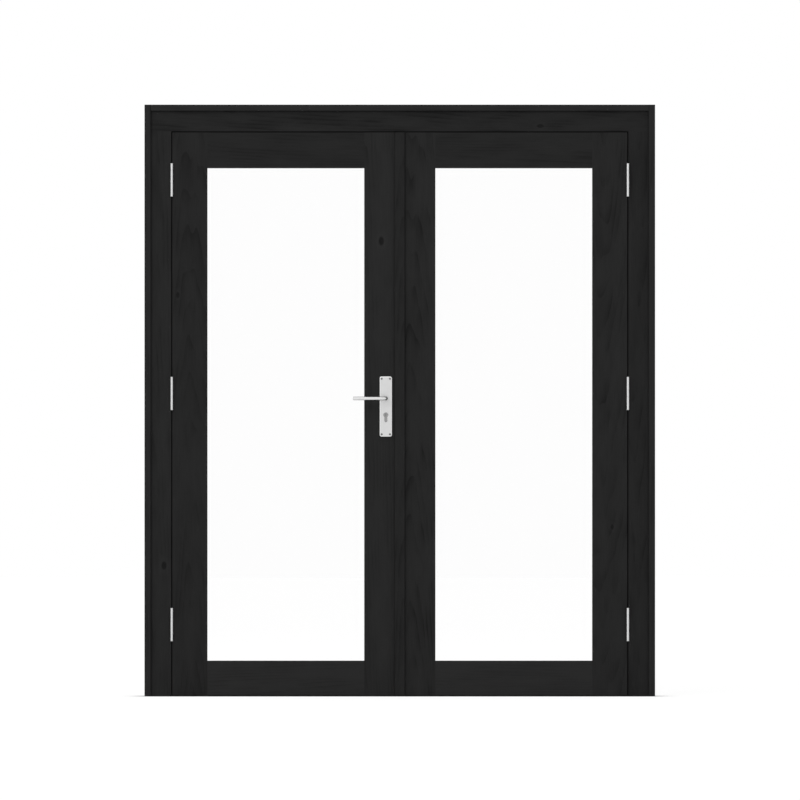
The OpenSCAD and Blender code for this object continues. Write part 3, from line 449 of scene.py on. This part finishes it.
rubber, tree, surface = new_material("extruded_black_rubber")
place = add(tree, "ShaderNodeTexCoord").outputs["Object"]
grain = add(tree, "ShaderNodeTexNoise", {"Vector": place, "Scale": 1 / RUBBER_GRAIN, "Detail": 2.0})
skin = add(tree, "ShaderNodeMix", {0: grain.outputs["Fac"], 6: colour("#0E0E0E"), 7: colour("#191919")},
           data_type="RGBA")
tree.links.new(skin.outputs[2], surface.inputs["Base Color"])
surface.inputs["Roughness"].default_value = 0.75
surface.inputs["Specular IOR Level"].default_value = 0.25
dress(rubber, "frame_seals", "left_glazing_tape", "right_glazing_tape", "left_setting_blocks",
      "right_setting_blocks")

aluminium = ground_metal("mill_finish_aluminium", ("#C4C6C8", "#D0D2D3"), 0.42, "Z", 0.001)
dress(aluminium, "left_spacer", "right_spacer")
print("panes:", [n for n in nodes if n.endswith("pane")])

# %% [markdown]
# ## Screws with cross slots
# The CAD screws have plain countersunk heads. A real one has a cross slot for the driver. All heads have the
# same shape at many places, which is what Geometry Nodes are for: one tree makes a head, cuts the slot with
# a boolean and puts a copy on each point, turned to that point's direction. The places are read from the
# CAD screws: each loose solid's long side is its axis and gives its length, and its wide end is the head.

# %% Find the screws
END_DEPTH = 1e-5


def screw_places(node):
    """For each screw of a CAD node: its head's centre, where that looks, the head's radius, the length."""
    mesh = bmesh.new()
    mesh.from_mesh(nodes[node].data)
    bmesh.ops.remove_doubles(mesh, verts=mesh.verts, dist=SAME_POINT)
    left, found = dict.fromkeys(mesh.verts), []
    while left:
        stack, island = [left.popitem()[0]], []
        while stack:
            vert = stack.pop()
            island.append(vert.co.copy())
            for edge in vert.link_edges:
                other = edge.other_vert(vert)
                if other in left:
                    del left[other]
                    stack.append(other)
        points = np.array(island)
        low, high = points.min(0), points.max(0)
        axis = int(np.argmax(high - low))
        across = [a for a in range(3) if a != axis]
        centre = (low + high) / 2
        ends = []
        for end in (low[axis], high[axis]):
            near = points[np.abs(points[:, axis] - end) < END_DEPTH]
            ends.append(np.linalg.norm(near[:, across] - centre[across], axis=1).max())
        wide = int(ends[1] > ends[0])
        direction = np.zeros(3)
        direction[axis] = 1.0 if wide else -1.0
        head = centre.copy()
        head[axis] = (low, high)[wide][axis]
        found.append((head, direction, ends[wide], high[axis] - low[axis]))
    mesh.free()
    return found


screw_nodes = {"plate_screws": "left_leaf", "left_screws": "left_leaf", "right_screws": "right_leaf",
               "frame_screws": "frame"}
places = {node: screw_places(node) for node in screw_nodes}
print({node: (len(found), round(float(found[0][2]) * 1000, 2)) for node, found in places.items()})

# %% [markdown]
# The screw could be modelled by hand and copied, but then a change of size means doing it all again. In a
# node tree every size is a named input: a cone makes the head, and two crossed bars are cut out of its top
# for the slot. Screws differ in length, so the shank is a cylinder one metre long that is scaled to each
# point's own length, below its head. Where they meet, both lose their end face and are welded into one
# closed shell. A head is a little smaller than its countersink, and a thin dark line shows round it. The
# copies become real meshes at the end, because instances are lost on export.

# %% Screw tree
HEAD_GAP = 0.00025
WELD_REACH = 1e-5
tree = bpy.data.node_groups.new("cross_slot_screws", "GeometryNodeTree")
sizes = {"Head radius": float(places["plate_screws"][0][2]) - HEAD_GAP, "Head height": 0.002,
         "Shank radius": 0.002, "Slot width": 0.001, "Slot length": 0.0044, "Slot depth": 0.0012}
tree.interface.new_socket("Geometry", in_out="INPUT", socket_type="NodeSocketGeometry")
for name, value in sizes.items():
    tree.interface.new_socket(name, in_out="INPUT", socket_type="NodeSocketFloat").default_value = value
tree.interface.new_socket("Finish", in_out="INPUT", socket_type="NodeSocketMaterial")
tree.interface.new_socket("Geometry", in_out="OUTPUT", socket_type="NodeSocketGeometry")
given = add(tree, "NodeGroupInput").outputs
head = add(tree, "GeometryNodeMeshCone", {"Vertices": 32, "Radius Top": given["Head radius"],
           "Radius Bottom": given["Shank radius"], "Depth": given["Head height"]})
drop = add(tree, "ShaderNodeMath", {0: given["Head height"], 1: -1.0}, operation="MULTIPLY").outputs[0]
sink = add(tree, "ShaderNodeCombineXYZ", {"Z": drop}).outputs[0]
head = add(tree, "GeometryNodeTransform", {"Geometry": head.outputs["Mesh"], "Translation": sink}).outputs[0]
bars = []
for first, second in (("Slot length", "Slot width"), ("Slot width", "Slot length")):
    deep = add(tree, "ShaderNodeMath", {0: given["Slot depth"], 1: 2.0}, operation="MULTIPLY").outputs[0]
    size = add(tree, "ShaderNodeCombineXYZ", {"X": given[first], "Y": given[second], "Z": deep}).outputs[0]
    bars.append(add(tree, "GeometryNodeMeshCube", {"Size": size}).outputs["Mesh"])
for bar in bars:
    head = add(tree, "GeometryNodeMeshBoolean", {"Mesh 1": head, "Mesh 2": bar}, operation="DIFFERENCE",
               solver="EXACT").outputs["Mesh"]
normal = add(tree, "GeometryNodeInputNormal").outputs[0]
upward = add(tree, "ShaderNodeSeparateXYZ", {0: normal}).outputs["Z"]
under = add(tree, "FunctionNodeCompare", {"A": upward, "B": -0.99}, operation="LESS_THAN").outputs[0]
head = add(tree, "GeometryNodeDeleteGeometry", {"Geometry": head, "Selection": under},
           domain="FACE").outputs[0]
facing = add(tree, "GeometryNodeInputNamedAttribute", {"Name": "facing"},
             data_type="FLOAT_VECTOR").outputs[0]
turned = add(tree, "FunctionNodeAlignRotationToVector", {"Vector": facing}, axis="Z").outputs[0]
heads = add(tree, "GeometryNodeInstanceOnPoints", {"Points": given["Geometry"], "Instance": head,
            "Rotation": turned}).outputs[0]
shank = add(tree, "GeometryNodeMeshCylinder", {"Vertices": 32, "Radius": given["Shank radius"], "Depth": 1.0})
shank = add(tree, "GeometryNodeDeleteGeometry", {"Geometry": shank.outputs["Mesh"],
            "Selection": shank.outputs["Top"]}, domain="FACE").outputs[0]
shank = add(tree, "GeometryNodeTransform", {"Geometry": shank, "Translation": (0.0, 0.0, -0.5)}).outputs[0]
below = add(tree, "ShaderNodeVectorMath", {0: facing, "Scale": drop}, operation="SCALE").outputs[0]
roots = add(tree, "GeometryNodeSetPosition", {"Geometry": given["Geometry"], "Offset": below}).outputs[0]
length = add(tree, "GeometryNodeInputNamedAttribute", {"Name": "length"}, data_type="FLOAT").outputs[0]
length = add(tree, "ShaderNodeMath", {0: length, 1: given["Head height"]}, operation="SUBTRACT").outputs[0]
stretch = add(tree, "ShaderNodeCombineXYZ", {"X": 1.0, "Y": 1.0, "Z": length}).outputs[0]
shanks = add(tree, "GeometryNodeInstanceOnPoints", {"Points": roots, "Instance": shank, "Rotation": turned,
             "Scale": stretch}).outputs[0]
whole = add(tree, "GeometryNodeJoinGeometry")
tree.links.new(heads, whole.inputs[0])
tree.links.new(shanks, whole.inputs[0])
real = add(tree, "GeometryNodeRealizeInstances", {"Geometry": whole.outputs[0]}).outputs[0]
welded = add(tree, "GeometryNodeMergeByDistance", {"Geometry": real, "Distance": WELD_REACH}).outputs[0]
painted = add(tree, "GeometryNodeSetMaterial", {"Geometry": welded, "Material": given["Finish"]})
add(tree, "NodeGroupOutput", {"Geometry": painted.outputs[0]})
print("screw tree nodes:", len(tree.nodes))

# %% [markdown]
# Each group of screws is one mesh that moves with the part it is screwed into, and takes the place of the
# plain CAD screws there. The screws of the handle plates are duller than the plates, as plated steel is
# beside stainless.

# %% Put the screws in
for node, body in screw_nodes.items():
    points = bpy.data.meshes.new(node + "_points")
    points.from_pydata([tuple(p[0]) for p in places[node]], [], [])
    facing = points.attributes.new("facing", "FLOAT_VECTOR", "POINT")
    facing.data.foreach_set("vector", np.array([p[1] for p in places[node]], np.float32).ravel())
    length = points.attributes.new("length", "FLOAT", "POINT")
    length.data.foreach_set("value", np.array([p[3] for p in places[node]], np.float32))
    maker = bpy.data.objects.new(node + "_maker", points)
    scene.collection.objects.link(maker)
    modifier = maker.modifiers.new("screws", "NODES")
    modifier.node_group = tree
    finish = next(s.identifier for s in tree.interface.items_tree if s.name == "Finish")
    modifier[finish] = dull_screw if node == "plate_screws" else satin_steel
    bpy.context.view_layer.update()
    made = bpy.data.meshes.new_from_object(maker.evaluated_get(bpy.context.evaluated_depsgraph_get()))
    bpy.data.objects.remove(maker)
    piece = bpy.data.objects.new("cross_slot_" + node, made)
    scene.collection.objects.link(piece)
    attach(piece, body)
    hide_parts(node)
    print(piece.name, len(made.polygons), "faces")
